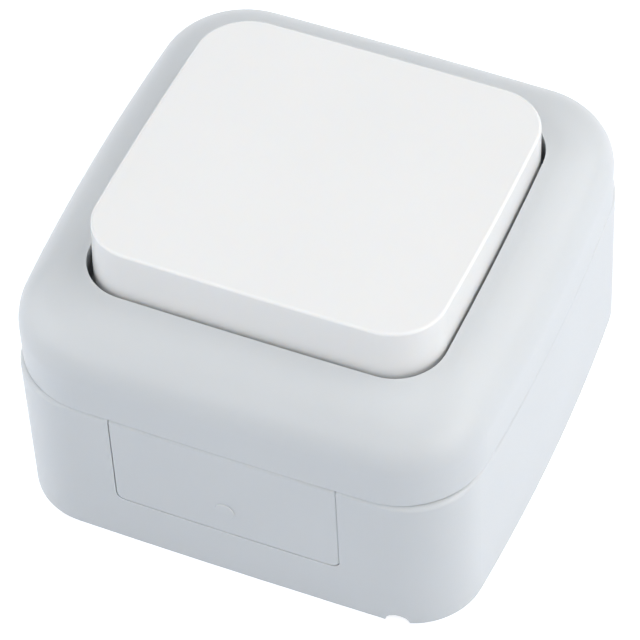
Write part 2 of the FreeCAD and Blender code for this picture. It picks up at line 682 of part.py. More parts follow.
def plunger():
    """Turned pin: round nose, guide shaft and spring guide, drawn as one profile."""
    nose_low = Vector(0, 0, NOSE_CENTRE - NOSE_RADIUS)
    nose_side = Vector(NOSE_RADIUS, 0, NOSE_CENTRE)
    diagonal = NOSE_RADIUS * math.sqrt(0.5)
    nose_middle = Vector(diagonal, 0, NOSE_CENTRE - diagonal)
    neck_z = NOSE_CENTRE + NOSE_LENGTH
    flare = PLUNGER_RADIUS - NOSE_RADIUS
    corner_points = [nose_side, Vector(NOSE_RADIUS, 0, neck_z), Vector(PLUNGER_RADIUS, 0, neck_z + flare),
                     Vector(PLUNGER_RADIUS, 0, PLUNGER_TOP), Vector(SPRING_GUIDE_RADIUS, 0, PLUNGER_TOP),
                     Vector(SPRING_GUIDE_RADIUS, 0, PLUNGER_TOP + SPRING_GUIDE_LENGTH),
                     Vector(0, 0, PLUNGER_TOP + SPRING_GUIDE_LENGTH), nose_low]
    edges = [Part.Arc(nose_low, nose_middle, nose_side).toShape()]
    for start, end in zip(corner_points, corner_points[1:]):
        edges.append(Part.LineSegment(start, end).toShape())
    return tip_rocker(Part.Face(Part.Wire(edges)).revolve(Vector(0, 0, 0), UP, 360))


def plunger_spring():
    """Coil spring between the plunger's shoulder and the end of the yoke's bore."""
    height = BORE_TOP - PLUNGER_TOP - 2 * SPRING_WIRE
    low = PLUNGER_TOP + SPRING_WIRE
    helix = Part.makeLongHelix(height / SPRING_TURNS, height, SPRING_RADIUS)
    helix.translate(Vector(0, 0, low))
    rim = []
    for step in range(SPRING_WIRE_SIDES):
        angle = 2 * math.pi * step / SPRING_WIRE_SIDES
        rim.append(Vector(SPRING_RADIUS + SPRING_WIRE * math.cos(angle), 0, low + SPRING_WIRE * math.sin(angle)))
    section = Part.makePolygon(rim + rim[:1])
    return tip_rocker(Part.Wire(helix.Edges).makePipeShell([section], True, True))


# Contact lever and contacts

def contact_lever():
    """Seesaw strip with a half-round seat for the fulcrum and tapered ends."""
    bar = block(LEVER_WIDTH / 2, LEVER_LENGTH / 2, LEVER_BOTTOM, LEVER_TOP)
    upright = [edge for edge in bar.Edges if edge.BoundBox.ZLength > LEVER_THICKNESS / 2]
    bar = bar.makeFillet(LEVER_WIDTH / 4, upright)
    seat_radius = FULCRUM_BLADE / 2 + FULCRUM_PLAY
    seat = Part.makeCylinder(seat_radius, FAR, Vector(-FAR / 2, 0, FULCRUM_Z), Vector(1, 0, 0))
    return tip_lever(bar.cut(seat))


def moving_contacts():
    """Two silver tips with domed faces under the lever's ends."""
    tips = []
    for side in (-1, 1):
        tip = post(CONTACT_RADIUS, LEVER_BOTTOM - CONTACT_HEIGHT, LEVER_BOTTOM, 0, side * CONTACT_ARM)
        low = [edge for edge in tip.Edges if edge.BoundBox.ZMax < LEVER_BOTTOM - CONTACT_HEIGHT / 2]
        tips.append(tip_lever(tip.makeFillet(CONTACT_HEIGHT / 2, low)))
    return Part.makeCompound(tips)


def closed_contact_level():
    """Height of the lowest point of the closed moving contact at rest."""
    tips = moving_contacts()
    return tips.BoundBox.ZMin


def fixed_contacts():
    """Two silver rivets on the way strips, which the lever's tips meet."""
    rivets = []
    top = closed_contact_level() - CONTACT_TOUCH
    for side in (-1, 1):
        rivets.append(post(CONTACT_RADIUS, WAY_LEVEL + STRIP, top, 0, side * contact_y()))
    return Part.makeCompound(rivets)


def contact_y():
    """Distance from the middle at which a tipped contact lands."""
    swing = math.radians(LEVER_SWING)
    drop = LEVER_SEAT + CONTACT_HEIGHT
    return CONTACT_ARM * math.cos(swing) - drop * math.sin(swing)


# Mechanism housing, lid and terminals

def terminal_places():
    """Common, first-way and second-way terminal positions."""
    return [(-TERMINAL_X, -TERMINAL_Y), (TERMINAL_X, -TERMINAL_Y), (TERMINAL_X, TERMINAL_Y)]


def mechanism_housing():
    """Open tray with terminal pedestals, contact pedestals and screw bosses."""
    tray = rounded_block(TRAY_WIDTH, TRAY_LENGTH, TRAY_CORNER, TRAY_BOTTOM, TRAY_TOP)
    inside_x = TRAY_WIDTH / 2 - TRAY_WALL
    inside_y = TRAY_LENGTH / 2 - TRAY_WALL
    tray = tray.cut(block(inside_x, inside_y, TRAY_FLOOR_TOP, TRAY_TOP))
    inner = RISER_X + STRIP + PEDESTAL_PLAY
    half_x = (inside_x - inner) / 2
    for x, y in terminal_places():
        centre = math.copysign(inner + half_x, x)
        tray = join(tray, block(half_x, TONGUE_WIDTH / 2, TRAY_FLOOR_TOP, TONGUE_LEVEL, centre, y))
        depth = TERMINAL_SCREW_LENGTH + 1
        tray = tray.cut(post(TERMINAL_SCREW_RADIUS + SCREW_PLAY, TONGUE_LEVEL - depth, TONGUE_LEVEL, x, y))
    for side in (-1, 1):
        pad_y = side * contact_y()
        tray = join(tray, block(PAD_LENGTH / 2, PAD_LENGTH / 2, TRAY_FLOOR_TOP, WAY_LEVEL, 0, pad_y))
        tray = join(tray, post(MECHANISM_BOSS_RADIUS, TRAY_FLOOR_TOP, TRAY_TOP, 0, side * MECHANISM_SCREW_Y))
        tip_z = PLATE_TOP - MECHANISM_SCREW_LENGTH - 1
        pilot = post(MECHANISM_SCREW_RADIUS + SCREW_PLAY, tip_z, TRAY_TOP, 0, side * MECHANISM_SCREW_Y)
        tray = tray.cut(pilot)
    return tray


def mechanism_lid():
    """Lid with the stem's window, screwdriver holes and two bearing towers."""
    lid = rounded_block(TRAY_WIDTH, TRAY_LENGTH, TRAY_CORNER, TRAY_TOP, LID_TOP)
    lid = lid.cut(rounded_block(STEM_WINDOW_WIDTH, STEM_WINDOW_LENGTH, TRAY_CORNER, TRAY_TOP, LID_TOP))
    for x, y in terminal_places():
        lid = lid.cut(post(ACCESS_RADIUS, TRAY_TOP, LID_TOP, x, y))
    for side in (-1, 1):
        screw_y = side * MECHANISM_SCREW_Y
        lid = lid.cut(post(MECHANISM_SCREW_RADIUS + SCREW_PLAY, TRAY_TOP, LID_TOP, 0, screw_y))
        lid = join(lid, bearing_tower(side))
    return lid


def bearing_tower(side):
    """Upright cheek that narrows to a round head with the trunnion's hole."""
    start_x = TOWER_INNER_X if side > 0 else -TOWER_INNER_X - TOWER_THICKNESS
    foot_near = Vector(start_x, -TOWER_LENGTH / 2, TRAY_TOP)
    foot_far = Vector(start_x, TOWER_LENGTH / 2, TRAY_TOP)
    head_near = Vector(start_x, -TOWER_HEAD_RADIUS, PIVOT_Z)
    head_far = Vector(start_x, TOWER_HEAD_RADIUS, PIVOT_Z)
    head_top = Vector(start_x, 0, PIVOT_Z + TOWER_HEAD_RADIUS)
    foot = Part.LineSegment(foot_near, foot_far).toShape()
    far_flank = Part.LineSegment(foot_far, head_far).toShape()
    head = Part.Arc(head_far, head_top, head_near).toShape()
    near_flank = Part.LineSegment(head_near, foot_near).toShape()
    cheek = Part.Face(Part.Wire([foot, far_flank, head, near_flank])).extrude(Vector(TOWER_THICKNESS, 0, 0))
    hole_start = Vector(start_x, 0, PIVOT_Z)
    hole = Part.makeCylinder(TRUNNION_RADIUS + BEARING_PLAY, TOWER_THICKNESS, hole_start, Vector(1, 0, 0))
    return cheek.cut(hole)


def stepped_strip(start_x, level, width, y):
    """Brass strip bent up from one level to the terminal's tongue, drawn as a profile in XZ."""
    points = [(start_x, level), (RISER_X + STRIP, level), (RISER_X + STRIP, TONGUE_LEVEL),
              (TONGUE_END, TONGUE_LEVEL), (TONGUE_END, TONGUE_TOP), (RISER_X, TONGUE_TOP),
              (RISER_X, level + STRIP), (start_x, level + STRIP)]
    corner_points = [Vector(x, y - width / 2, z) for x, z in points]
    face = Part.Face(Part.makePolygon(corner_points + corner_points[:1]))
    strip = face.extrude(Vector(0, width, 0))
    bends = []
    for edge in strip.Edges:
        place = edge.CenterOfMass
        at_foot = abs(place.x - RISER_X - STRIP) < 1e-6 and abs(place.z - level) < 1e-6
        at_head = abs(place.x - RISER_X) < 1e-6 and abs(place.z - TONGUE_TOP) < 1e-6
        if at_foot or at_head:
            bends.append(edge)
    return strip.makeFillet(STRIP_BEND, bends)


def way_terminal(side):
    """Strip from a fixed contact's pad to its terminal tongue."""
    pad_y = side * contact_y()
    tongue_y = side * TERMINAL_Y
    strip = stepped_strip(RISER_X - STRIP, WAY_LEVEL, TONGUE_WIDTH - PEDESTAL_PLAY, tongue_y)
    half_pad = PAD_LENGTH / 2
    arm = Part.makeBox(RISER_X + half_pad, PAD_LENGTH, STRIP, Vector(-half_pad, pad_y - half_pad, WAY_LEVEL))
    strip = join(strip, arm)
    hole = post(TERMINAL_SCREW_RADIUS + SCREW_PLAY, TONGUE_LEVEL, TONGUE_TOP, TERMINAL_X, tongue_y)
    return strip.cut(hole)


def common_terminal():
    """Foot strip with the upright fulcrum blade, run to the common terminal's tongue."""
    strip = stepped_strip(RISER_X - STRIP, TRAY_FLOOR_TOP, TONGUE_WIDTH - PEDESTAL_PLAY, -TERMINAL_Y)
    strip = strip.mirror(Vector(0, 0, 0), Vector(1, 0, 0))
    level = TRAY_FLOOR_TOP
    foot_half = FULCRUM_FOOT_LENGTH / 2
    reach_x = RISER_X + STRIP
    foot = Part.makeBox(reach_x + LEVER_WIDTH / 2, 2 * foot_half, STRIP, Vector(-reach_x, -foot_half, level))
    arm_start = -TERMINAL_Y - TONGUE_WIDTH / 4
    arm = Part.makeBox(TONGUE_WIDTH / 2, foot_half - arm_start, STRIP, Vector(-reach_x, arm_start, level))
    half_blade = FULCRUM_BLADE / 2
    blade = block(LEVER_WIDTH / 2, half_blade, level, FULCRUM_Z)
    edge = Part.makeCylinder(half_blade, LEVER_WIDTH, Vector(-LEVER_WIDTH / 2, 0, FULCRUM_Z), Vector(1, 0, 0))
    solid = join(strip, foot, arm, blade, edge)
    hole = post(TERMINAL_SCREW_RADIUS + SCREW_PLAY, TONGUE_LEVEL, TONGUE_TOP, -TERMINAL_X, -TERMINAL_Y)
    return solid.cut(hole)


def terminal_clamps():
    """Square clamp plates on the tongues."""
    plates = []
    for x, y in terminal_places():
        plate = block(CLAMP_SIZE / 2, CLAMP_SIZE / 2, TONGUE_TOP, TONGUE_TOP + STRIP, x, y)
        hole = post(TERMINAL_SCREW_RADIUS + SCREW_PLAY, TONGUE_TOP, TONGUE_TOP + STRIP, x, y)
        plates.append(plate.cut(hole))
    return Part.makeCompound(plates)


def terminal_screws():
    """Clamp screws of the three terminals."""
    seat = TONGUE_TOP + STRIP
    screws = []
    for x, y in terminal_places():
        screws.append(screw(TERMINAL_SCREW_RADIUS, TERMINAL_SCREW_HEAD, TERMINAL_SCREW_HEAD_HEIGHT,
                            TERMINAL_SCREW_LENGTH, seat, x, y))
    return Part.makeCompound(screws)


# Support plate and its screws

def support_plate():
    """Steel plate over the lid, resting on the four posts."""
    plate = rounded_block(PLATE_WIDTH, PLATE_LENGTH, PLATE_CORNER, LID_TOP, PLATE_TOP)
    window = rounded_block(PLATE_WINDOW_WIDTH, PLATE_WINDOW_LENGTH, PLATE_CORNER, LID_TOP, PLATE_TOP)
    plate = plate.cut(window)
    for x, y in corners(TERMINAL_X, TERMINAL_Y):
        plate = plate.cut(post(ACCESS_RADIUS, LID_TOP, PLATE_TOP, x, y))
    for x, y in corners(PLATE_POST_X, PLATE_POST_Y):
        plate = plate.cut(post(PLATE_SCREW_RADIUS + SCREW_PLAY, LID_TOP, PLATE_TOP, x, y))
    for side in (-1, 1):
        screw_y = side * MECHANISM_SCREW_Y
        plate = plate.cut(post(MECHANISM_SCREW_RADIUS + SCREW_PLAY, LID_TOP, PLATE_TOP, 0, screw_y))
    return plate


def plate_screws():
    """Four screws from the plate into the posts."""
    screws = []
    for x, y in corners(PLATE_POST_X, PLATE_POST_Y):
        screws.append(screw(PLATE_SCREW_RADIUS, PLATE_SCREW_HEAD, PLATE_SCREW_HEAD_HEIGHT,
                            PLATE_SCREW_LENGTH, PLATE_TOP, x, y))
    return Part.makeCompound(screws)


def mechanism_screws():
    """Two screws that hold tray and lid under the plate."""
    screws = []
    for side in (-1, 1):
        screws.append(screw(MECHANISM_SCREW_RADIUS, MECHANISM_SCREW_HEAD, MECHANISM_SCREW_HEAD_HEIGHT,
                            MECHANISM_SCREW_LENGTH, PLATE_TOP, 0, side * MECHANISM_SCREW_Y))
    return Part.makeCompound(screws)


# Earth terminal

def earth_terminal():
    """Brass block with a wire bore and two screw bores, lying on the floor."""
    top = FLOOR_TOP + EARTH_HEIGHT
    body = rounded_block(EARTH_WIDTH, EARTH_LENGTH, 1.0, FLOOR_TOP, top, 0, EARTH_Y)
    wire_start = Vector(-EARTH_WIDTH / 2, EARTH_Y, FLOOR_TOP + EARTH_WIRE_Z)
    body = body.cut(Part.makeCylinder(EARTH_WIRE_RADIUS, EARTH_WIDTH, wire_start, Vector(1, 0, 0)))
    for side in (-1, 1):
        x = side * EARTH_SCREW_SPACING / 2
        body = body.cut(post(EARTH_SCREW_RADIUS + SCREW_PLAY, FLOOR_TOP + EARTH_WIRE_Z, top, x, EARTH_Y))
    return body


def earth_screws():
    """Slotted grub screws of the earth terminal."""
    top = FLOOR_TOP + EARTH_HEIGHT + EARTH_SCREW_PROUD
    screws = []
    for side in (-1, 1):
        x = side * EARTH_SCREW_SPACING / 2
        grub = post(EARTH_SCREW_RADIUS, top - EARTH_SCREW_LENGTH - EARTH_SCREW_PROUD, top, x, EARTH_Y)
        slot = block(EARTH_SCREW_RADIUS, DRIVE_WIDTH / 2, top - DRIVE_DEPTH, top, x, EARTH_Y)
        screws.append(grub.cut(slot))
    return Part.makeCompound(screws)


# Every sub-part under its own name

PIECES = {
    "back_box": back_box,
    "entry_panel_front": entry_panel,
    "entry_panel_rear": lambda: entry_panel().rotated(Vector(0, 0, 0), UP, 180),
    "cover_gasket": cover_gasket,
    "cover_frame": cover_frame,
    "cover_screws": cover_screws,
    "rocker_seal": rocker_seal,
    "support_plate": support_plate,
    "plate_screws": plate_screws,
    "mechanism_housing": mechanism_housing,
    "mechanism_lid": mechanism_lid,
    "mechanism_screws": mechanism_screws,
    "common_terminal": common_terminal,
    "first_way_terminal": lambda: way_terminal(-1),
    "second_way_terminal": lambda: way_terminal(1),
    "fixed_contacts": fixed_contacts,
    "terminal_clamps": terminal_clamps,
    "terminal_screws": terminal_screws,
    "earth_terminal": earth_terminal,
    "earth_screws": earth_screws,
    "rocker_button": rocker_button,
    "rocker_yoke": rocker_yoke,
    "plunger_spring": plunger_spring,
    "plunger": plunger,
    "contact_lever": contact_lever,
    "moving_contacts": moving_contacts,
}

os.makedirs("parts", exist_ok=True)
for name, build in PIECES.items():
    shape = build()
    print(name, "valid" if shape.isValid() else "INVALID", len(shape.Solids), round(shape.Volume, 1))
    shape.exportStep("parts/" + name + ".step")
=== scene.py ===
import json
import math

import bpy
import numpy as np
from mathutils import Matrix, Vector


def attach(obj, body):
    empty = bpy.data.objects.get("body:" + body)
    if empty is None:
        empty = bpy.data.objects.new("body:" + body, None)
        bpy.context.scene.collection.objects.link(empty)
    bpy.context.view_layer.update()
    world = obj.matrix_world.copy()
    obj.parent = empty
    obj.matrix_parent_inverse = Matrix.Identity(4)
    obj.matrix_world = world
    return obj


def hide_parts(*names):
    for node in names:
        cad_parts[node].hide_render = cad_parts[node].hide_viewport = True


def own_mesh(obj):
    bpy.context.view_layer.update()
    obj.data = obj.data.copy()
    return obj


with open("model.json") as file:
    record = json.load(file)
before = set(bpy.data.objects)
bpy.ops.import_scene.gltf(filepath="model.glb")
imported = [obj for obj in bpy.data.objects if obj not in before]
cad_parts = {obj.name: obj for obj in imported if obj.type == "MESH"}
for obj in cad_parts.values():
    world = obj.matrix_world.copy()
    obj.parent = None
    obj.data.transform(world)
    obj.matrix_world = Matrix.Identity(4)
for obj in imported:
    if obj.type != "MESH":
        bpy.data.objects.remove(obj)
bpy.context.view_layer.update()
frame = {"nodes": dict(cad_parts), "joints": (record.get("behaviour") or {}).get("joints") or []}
nodes = frame["nodes"]

# Camera at the photograph's place: lens and sensor in millimetres, places in metres
CAMERA_PLACE = Vector((0.142728, -0.302701, 0.423088))
CAMERA_AIM = Vector((0.003227, -0.008311, 0.025))
CAMERA_ROLL = 3.338  # degrees
CAMERA_LENS = 221.6
CAMERA_SENSOR = 36.0
CAMERA_NEAR = 0.01
CAMERA_FAR = 20.0

# Colours, linear
HOUSING = (0.634, 0.657, 0.674)
HOUSING_FLOW = (0.646, 0.669, 0.686)
ROCKER = (0.815, 0.820, 0.820)
ROCKER_FLOW = (0.825, 0.830, 0.830)
INSERT = (0.66, 0.66, 0.62)
INSERT_FLOW = (0.70, 0.70, 0.66)
RUBBER = (0.020, 0.020, 0.022)
RUBBER_FLOW = (0.030, 0.030, 0.032)
STEEL = (0.62, 0.63, 0.64)
STEEL_STREAK = (0.72, 0.73, 0.74)
BRASS = (0.72, 0.52, 0.22)
BRASS_STREAK = (0.80, 0.61, 0.30)
SILVER = (0.80, 0.80, 0.78)
SILVER_STREAK = (0.88, 0.88, 0.86)
PLUNGER = (0.74, 0.70, 0.60)
PLUNGER_FLOW = (0.78, 0.74, 0.65)
SPRING = (0.55, 0.55, 0.56)
SPRING_STREAK = (0.65, 0.65, 0.66)
FLOOR = (0.50, 0.54, 0.60, 1)
FLOOR_GLOW = (1, 1, 1, 1)
AIR = (0.97, 0.983, 1.0, 1)
PLAIN_LIGHT = (1.0, 1.0, 1.0)
WARM_LIGHT = (1.0, 0.973, 0.945)
COOL_LIGHT = (0.972, 0.983, 1.0)


# Shader groups

FLOAT = "NodeSocketFloat"
COLOUR = "NodeSocketColor"
SURFACE_OUT = [("Colour", COLOUR), ("Roughness", FLOAT), ("Height", FLOAT)]
UNSET_COLOUR = (0.5, 0.5, 0.5, 1)
NOISE_MIDDLE = (0.3, 0.7)           # the range that most of a noise falls in
FLOW_NOISE = (2.0, 0.4)             # detail and roughness of a noise texture
GRAIN_NOISE = (3.0, 0.6)
STREAK_NOISE = (4.0, 0.6)
STREAK_STRETCH = (0.04, 1.0, 1.0)   # a streak is 25 times as long as it is wide
MIX_FIRST, MIX_SECOND, MIX_RESULT = 6, 7, 2     # the colour sockets of a Mix node


def new_group(name, inputs, outputs):
    """Empty shader group with float and colour sockets."""
    tree = bpy.data.node_groups.new(name, "ShaderNodeTree")
    for label, kind, value in inputs:
        socket = tree.interface.new_socket(label, in_out="INPUT", socket_type=kind)
        socket.default_value = value
    for label, kind in outputs:
        tree.interface.new_socket(label, in_out="OUTPUT", socket_type=kind)
    entry = tree.nodes.new("NodeGroupInput")
    leave = tree.nodes.new("NodeGroupOutput")
    return tree, entry, leave


def noise(tree, coordinates, scale, character):
    """Noise texture on the coordinates, at a scale socket, with a detail and roughness."""
    texture = tree.nodes.new("ShaderNodeTexNoise")
    detail, roughness = character
    texture.inputs["Detail"].default_value = detail
    texture.inputs["Roughness"].default_value = roughness
    tree.links.new(coordinates, texture.inputs["Vector"])
    tree.links.new(scale, texture.inputs["Scale"])
    return texture.outputs["Fac"]


def spread(tree, value, low, high):
    """Maps the middle of a noise to low..high, each a socket or a number."""
    node = tree.nodes.new("ShaderNodeMapRange")
    node.inputs["From Min"].default_value, node.inputs["From Max"].default_value = NOISE_MIDDLE
    tree.links.new(value, node.inputs["Value"])
    for label, end in (("To Min", low), ("To Max", high)):
        if isinstance(end, float):
            node.inputs[label].default_value = end
        else:
            tree.links.new(end, node.inputs[label])
    return node.outputs["Result"]


def tint(tree, factor, first, second):
    """Colour between two colour sockets, by a factor from 0 to 1."""
    node = tree.nodes.new("ShaderNodeMix")
    node.data_type = "RGBA"
    tree.links.new(factor, node.inputs["Factor"])
    tree.links.new(first, node.inputs[MIX_FIRST])
    tree.links.new(second, node.inputs[MIX_SECOND])
    return node.outputs[MIX_RESULT]


def surface(tree, entry, leave, tone, tone_colour, fine):
    """Leads one noise to the colour, and one, which may be the same, to the gloss and height."""
    share = spread(tree, tone, 0.0, 1.0)
    colour = tint(tree, share, entry.outputs["Colour"], entry.outputs[tone_colour])
    gloss = spread(tree, fine, entry.outputs["Low Roughness"], entry.outputs["High Roughness"])
    tree.links.new(colour, leave.inputs["Colour"])
    tree.links.new(gloss, leave.inputs["Roughness"])
    tree.links.new(fine, leave.inputs["Height"])


def moulded_group():
    """Moulded plastic: slow flow marks in its colour, and a fine grain in its gloss and height."""
    tree, entry, leave = new_group("moulded_surface", [
        ("Colour", COLOUR, UNSET_COLOUR), ("Flow Colour", COLOUR, UNSET_COLOUR),
        ("Flow Scale", FLOAT, 40), ("Grain Scale", FLOAT, 5000),
        ("Low Roughness", FLOAT, 0.3), ("High Roughness", FLOAT, 0.4)], SURFACE_OUT)
    place = tree.nodes.new("ShaderNodeTexCoord").outputs["Object"]
    flow = noise(tree, place, entry.outputs["Flow Scale"], FLOW_NOISE)
    grain = noise(tree, place, entry.outputs["Grain Scale"], GRAIN_NOISE)
    surface(tree, entry, leave, flow, "Flow Colour", grain)
    return tree


def drawn_group():
    """Drawn or rolled metal: fine streaks along X, made by noise on stretched coordinates."""
    tree, entry, leave = new_group("drawn_metal", [
        ("Colour", COLOUR, UNSET_COLOUR), ("Streak Colour", COLOUR, UNSET_COLOUR),
        ("Streak Scale", FLOAT, 3000),
        ("Low Roughness", FLOAT, 0.2), ("High Roughness", FLOAT, 0.35)], SURFACE_OUT)
    place = tree.nodes.new("ShaderNodeTexCoord").outputs["Object"]
    stretch = tree.nodes.new("ShaderNodeMapping")
    stretch.inputs["Scale"].default_value = STREAK_STRETCH
    tree.links.new(place, stretch.inputs["Vector"])
    streak = noise(tree, stretch.outputs["Vector"], entry.outputs["Streak Scale"], STREAK_NOISE)
    surface(tree, entry, leave, streak, "Streak Colour", streak)
    return tree


MOULDED = moulded_group()
DRAWN = drawn_group()


# Materials: scales per metre, bump and depth in metres

SCATTER = (1.0, 0.9, 0.8)   # how far red, green and blue travel in the plastics, in depths


def material(name, group, values, bump_distance, metallic=0.0, depth=0.0):
    """Principled material fed by a surface group. Light passes below the surface to the depth."""
    made = bpy.data.materials.new(name)
    made.use_nodes = True
    tree = made.node_tree
    shader = tree.nodes["Principled BSDF"]
    shader.inputs["Metallic"].default_value = metallic
    shader.inputs["Subsurface Weight"].default_value = 1.0 if depth else 0.0
    shader.inputs["Subsurface Radius"].default_value = SCATTER
    shader.inputs["Subsurface Scale"].default_value = depth
    finish = tree.nodes.new("ShaderNodeGroup")
    finish.node_tree = group
    for label, value in values.items():
        finish.inputs[label].default_value = (*value, 1.0) if isinstance(value, tuple) else value
    bump = tree.nodes.new("ShaderNodeBump")
    bump.inputs["Strength"].default_value = 1.0
    bump.inputs["Distance"].default_value = bump_distance
    tree.links.new(finish.outputs["Height"], bump.inputs["Height"])
    tree.links.new(finish.outputs["Colour"], shader.inputs["Base Color"])
    tree.links.new(finish.outputs["Roughness"], shader.inputs["Roughness"])
    tree.links.new(bump.outputs["Normal"], shader.inputs["Normal"])
    return made


housing_plastic = material("satin_housing_plastic", MOULDED, {
    "Colour": HOUSING, "Flow Colour": HOUSING_FLOW, "Flow Scale": 60.0, "Grain Scale": 5000.0,
    "Low Roughness": 0.32, "High Roughness": 0.42},
    bump_distance=0.0000015, depth=0.0005)
rocker_plastic = material("gloss_rocker_plastic", MOULDED, {
    "Colour": ROCKER, "Flow Colour": ROCKER_FLOW, "Flow Scale": 50.0, "Grain Scale": 2500.0,
    "Low Roughness": 0.18, "High Roughness": 0.24},
    bump_distance=0.0000006, depth=0.0002)
insert_plastic = material("insert_plastic", MOULDED, {
    "Colour": INSERT, "Flow Colour": INSERT_FLOW, "Flow Scale": 120.0, "Grain Scale": 4000.0,
    "Low Roughness": 0.45, "High Roughness": 0.6}, bump_distance=0.000002)
plunger_plastic = material("slippery_plunger_plastic", MOULDED, {
    "Colour": PLUNGER, "Flow Colour": PLUNGER_FLOW, "Flow Scale": 200.0, "Grain Scale": 4000.0,
    "Low Roughness": 0.25, "High Roughness": 0.35}, bump_distance=0.000001)
seal_rubber = material("sealing_rubber", MOULDED, {
    "Colour": RUBBER, "Flow Colour": RUBBER_FLOW, "Flow Scale": 200.0, "Grain Scale": 3000.0,
    "Low Roughness": 0.6, "High Roughness": 0.8}, bump_distance=0.000004)
plate_steel = material("zinc_plated_plate", DRAWN, {
    "Colour": STEEL, "Streak Colour": STEEL_STREAK, "Streak Scale": 3000.0,
    "Low Roughness": 0.22, "High Roughness": 0.38},
    bump_distance=0.000001, metallic=1.0)
screw_steel = material("zinc_plated_screws", DRAWN, {
    "Colour": STEEL, "Streak Colour": STEEL_STREAK, "Streak Scale": 6000.0,
    "Low Roughness": 0.18, "High Roughness": 0.3},
    bump_distance=0.000001, metallic=1.0)
spring_steel = material("spring_wire", DRAWN, {
    "Colour": SPRING, "Streak Colour": SPRING_STREAK, "Streak Scale": 9000.0,
    "Low Roughness": 0.15, "High Roughness": 0.28},
    bump_distance=0.0000005, metallic=1.0)
contact_brass = material("stamped_brass", DRAWN, {
    "Colour": BRASS, "Streak Colour": BRASS_STREAK, "Streak Scale": 4000.0,
    "Low Roughness": 0.2, "High Roughness": 0.36},
    bump_distance=0.000001, metallic=1.0)
contact_silver = material("silver_contacts", DRAWN, {
    "Colour": SILVER, "Streak Colour": SILVER_STREAK, "Streak Scale": 6000.0,
    "Low Roughness": 0.2, "High Roughness": 0.3},
    bump_distance=0.0000005, metallic=1.0)

FINISHES = {
    housing_plastic: ["back_box", "entry_panel_front", "entry_panel_rear", "cover_frame"],
    rocker_plastic: ["rocker_button"],
    insert_plastic: ["mechanism_housing", "mechanism_lid", "rocker_yoke"],
    plunger_plastic: ["plunger"],
    seal_rubber: ["cover_gasket", "rocker_seal"],
    plate_steel: ["support_plate"],
    screw_steel: ["cover_screws", "plate_screws", "mechanism_screws", "terminal_clamps",
                  "terminal_screws", "earth_screws"],
    spring_steel: ["plunger_spring"],
    contact_brass: ["common_terminal", "first_way_terminal", "second_way_terminal",
                    "earth_terminal", "contact_lever"],
    contact_silver: ["fixed_contacts", "moving_contacts"],
}
for finish, names in FINISHES.items():
    for name in names:
        nodes[name].data.materials.clear()
        nodes[name].data.materials.append(finish)


# The plunger's spring, as a coil of round wire, in metres

COIL_TOP = 0.00102          # from the rocker's axis down to the coil's upper end
COIL_LENGTH = 0.00596
COIL_RADIUS = 0.00145       # to the middle of the wire
WIRE_RADIUS = 0.00024
COIL_TURNS = 5.0
CLOSED_TURNS = 0.75         # at each end
EASING_TURNS = 0.5
CLOSED_PITCH = 2.2 * WIRE_RADIUS    # one wire and a tenth of it free
WIRE_SIDES = 12
STEPS_IN_TURN = 40


def new_piece(name, points, faces, smooth=0):
    """Object at the origin from points and faces, the first faces of it shaded smooth."""
    mesh = bpy.data.meshes.new(name)
    mesh.from_pydata(points.tolist(), [], faces)
    mesh.polygons.foreach_set("use_smooth", np.arange(len(faces)) < smooth)
    made = bpy.data.objects.new(name, mesh)
    bpy.context.scene.collection.objects.link(made)
    return made


def coil_spring(name, foot, axis):
    """Round wire on a helix about the axis.

    The wire's middle goes round at the coil's radius. It rises by the closed pitch in every turn,
    and the rest of the length is spread by a weight that eases from 0 in the end turns to 1
    between them. The wire's section is a circle in the plane through the axis.
    """
    share = np.linspace(0.0, 1.0, int(COIL_TURNS * STEPS_IN_TURN) + 1)
    angle = 2 * math.pi * COIL_TURNS * share
    from_end = np.minimum(share, 1 - share) * COIL_TURNS
    weight = np.clip((from_end - CLOSED_TURNS) / EASING_TURNS, 0, 1)
    opened = np.cumsum(weight) / weight.sum()
    closed_rise = CLOSED_PITCH * COIL_TURNS
    open_rise = COIL_LENGTH - 2 * WIRE_RADIUS - closed_rise
    height = WIRE_RADIUS + closed_rise * share + open_rise * opened
    around = 2 * math.pi * np.arange(WIRE_SIDES) / WIRE_SIDES
    reach = COIL_RADIUS + WIRE_RADIUS * np.cos(around)[None, :]
    level = height[:, None] + WIRE_RADIUS * np.sin(around)[None, :]
    right = np.array([1.0, 0.0, 0.0])
    forward = np.cross(axis, right)
    points = (np.array(foot) + (reach * np.cos(angle)[:, None])[..., None] * right
              + (reach * np.sin(angle)[:, None])[..., None] * forward + level[..., None] * axis)
    ring = np.arange(len(share) - 1)[:, None] * WIRE_SIDES
    side = np.arange(WIRE_SIDES)[None, :]
    beside = (side + 1) % WIRE_SIDES
    quads = np.stack([ring + side, ring + WIRE_SIDES + side,
                      ring + WIRE_SIDES + beside, ring + beside], -1)
    last = len(share) * WIRE_SIDES - 1
    ends = [list(range(WIRE_SIDES)), list(range(last, last - WIRE_SIDES, -1))]
    return new_piece(name, points.reshape(-1, 3), quads.reshape(-1, 4).tolist() + ends,
                     smooth=len(quads) * WIRE_SIDES)


joints = {joint["name"]: joint for joint in frame["joints"]}
slide_axis = np.array(joints["plunger_slide"]["axis"])
slide_axis /= np.linalg.norm(slide_axis)
coil_top = np.array(joints["rocker_tilt"]["pos_m"]) - COIL_TOP * slide_axis
coil = coil_spring("plunger_spring_coil", coil_top - COIL_LENGTH * slide_axis, slide_axis)
coil.data.materials.append(spring_steel)
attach(coil, "rocker")
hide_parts("plunger_spring")
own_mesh(coil)


# Floor, lamps and camera

